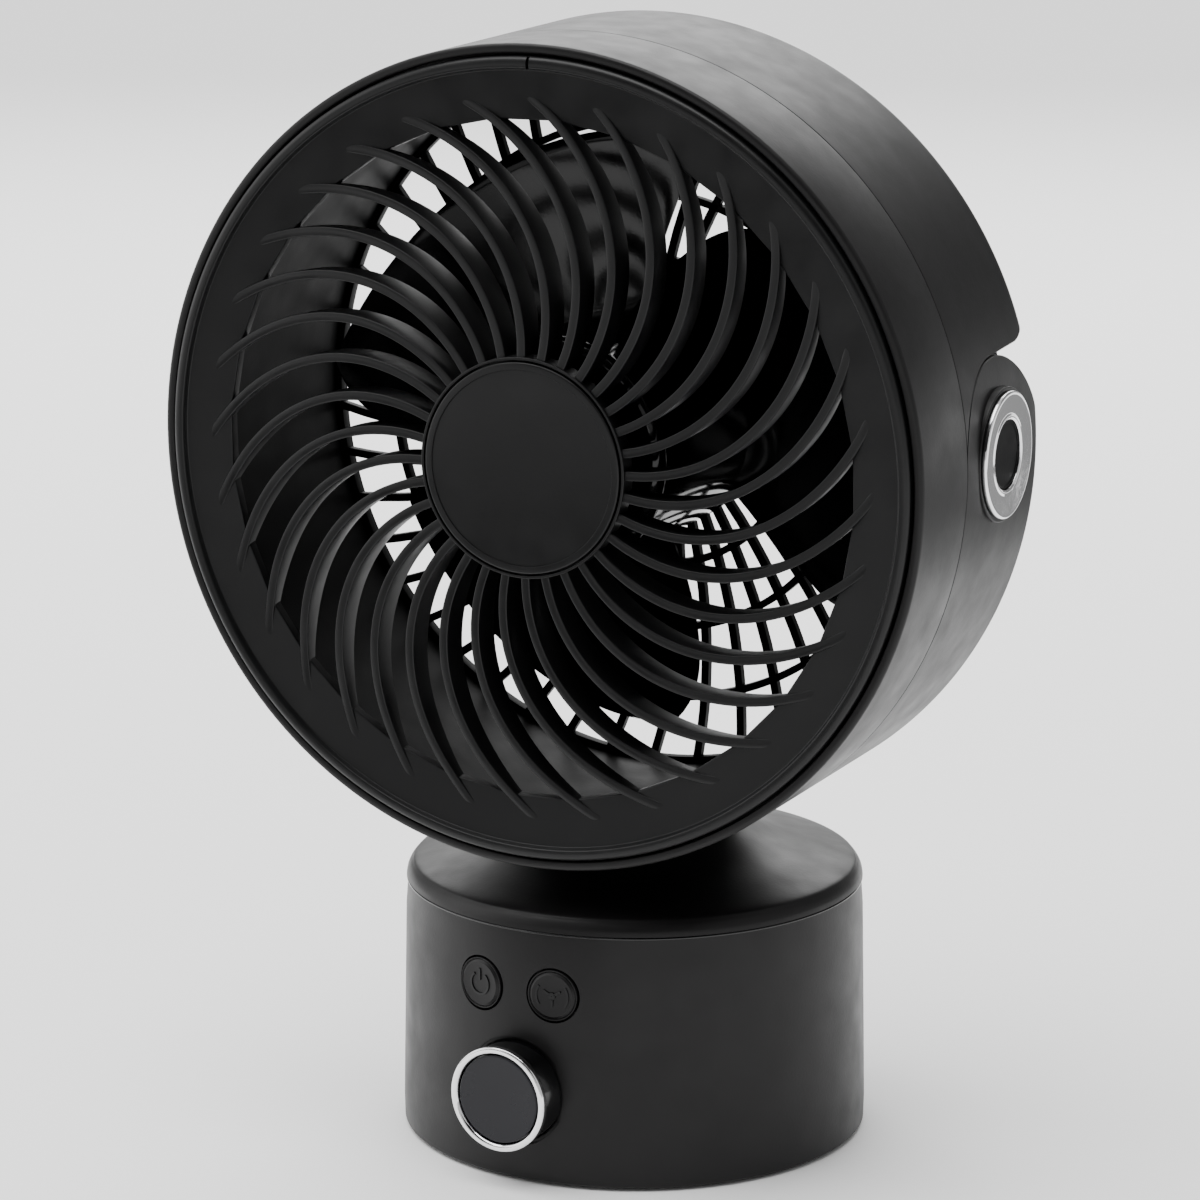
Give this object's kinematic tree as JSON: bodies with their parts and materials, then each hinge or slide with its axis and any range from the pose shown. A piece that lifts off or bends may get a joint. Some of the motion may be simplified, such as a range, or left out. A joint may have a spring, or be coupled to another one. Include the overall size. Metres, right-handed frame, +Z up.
{
  "type": "desk fan",
  "caption": "Desk fan with a round base, knob and push buttons, a swinging yoke and a tilting drum head behind a spiral front grille.",
  "frame": {"origin": "centre of the base's underside, on the swing axis", "axes": "+Z up along the swing axis; the head faces -Y at rest; +X is the object's left-hand pivot side as the fan faces"},
  "size_m": [0.2408, 0.15, 0.3343],
  "materials": {
    "shell_black": "satin",
    "inner_black": "matt",
    "grille_black": "satin",
    "rotor_black": "gloss",
    "gloss_black": "gloss",
    "pad_rubber": "matt",
    "lead_rubber": "satin",
    "chrome_trim": "polished",
    "knob_grey": "satin",
    "board_green": "satin",
    "nylon_white": "matt",
    "steel": "brushed",
    "motor_alloy": "brushed"
  },
  "bodies": {
    "base": {"base_body": "shell_black", "bottom_cover": "inner_black", "nonslip_pad": "pad_rubber", "cover_screw_1": "steel", "cover_screw_2": "steel", "cover_screw_3": "steel", "power_switch": "inner_black", "swing_switch": "inner_black", "control_board": "board_green", "speed_control": "motor_alloy", "power_inlet": "inner_black", "inlet_lead": "lead_rubber", "swing_motor": "motor_alloy", "thrust_washer": "nylon_white"},
    "swivel": {"top_cover": "shell_black", "yoke": "shell_black", "swing_gear": "nylon_white", "swivel_retainer": "steel", "retainer_screw_1": "steel", "retainer_screw_2": "steel", "retainer_screw_3": "steel", "pivot_bolt_right": "steel", "pivot_bolt_left": "steel", "tilt_washer_right": "nylon_white", "tilt_washer_left": "nylon_white", "pivot_ring_right": "chrome_trim", "pivot_ring_left": "chrome_trim", "pivot_cap_right": "gloss_black", "pivot_cap_left": "gloss_black"},
    "head": {"front_housing": "shell_black", "housing_screw_1": "steel", "housing_screw_2": "steel", "housing_screw_3": "steel", "housing_screw_4": "steel", "rear_housing": "inner_black", "upper_shell": "shell_black", "front_grille": "grille_black", "hub_cap": "grille_black", "rear_grille": "inner_black", "fan_motor": "motor_alloy", "motor_screw_1": "steel", "motor_screw_2": "steel", "motor_screw_3": "steel", "motor_lead": "lead_rubber"},
    "rotor": {"fan_rotor": "rotor_black", "rotor_shaft": "steel", "rotor_nut": "gloss_black"},
    "knob": {"knob_body": "gloss_black", "knob_ring": "chrome_trim", "knob_face": "knob_grey", "knob_shaft": "steel"},
    "power_button": {"power_button": "shell_black"},
    "swing_button": {"swing_button": "shell_black"},
    "swing_pinion": {"swing_pinion": "nylon_white"}
  },
  "joints": [
    {"name": "swing", "type": "hinge", "parent": "base", "child": "swivel", "pos_m": [0, 0, 0.0722], "axis": [0, 0, 1], "range_deg": [-45, 35]},
    {"name": "tilt", "type": "hinge", "parent": "swivel", "child": "head", "pos_m": [0, -0.0085, 0.21725], "axis": [-1, 0, 0], "range_deg": [0, 85]},
    {"name": "fan_spin", "type": "hinge", "parent": "head", "child": "rotor", "pos_m": [0, -0.033, 0.21525], "axis": [0, -1, 0], "continuous": true},
    {"name": "knob_turn", "type": "hinge", "parent": "base", "child": "knob", "pos_m": [-0.00659, -0.06969, 0.0278], "axis": [-0.0941, -0.9956, 0], "range_deg": [-270, 0]},
    {"name": "power_press", "type": "slide", "parent": "base", "child": "power_button", "axis": [0.2689, 0.9632, 0], "range_m": [0, 0.0012], "stiffness_N_per_m": 600},
    {"name": "swing_press", "type": "slide", "parent": "base", "child": "swing_button", "axis": [-0.0837, 0.9965, 0], "range_m": [0, 0.0012], "stiffness_N_per_m": 600},
    {"name": "pinion_spin", "type": "hinge", "parent": "base", "child": "swing_pinion", "pos_m": [0.00329, 0.03485, 0.0728], "axis": [0, 0, 1], "range_deg": [-90, 115]}
  ],
  "couplings": [
    {"joint": "pinion_spin", "follows": "swing", "ratio": -2.5}
  ]
}
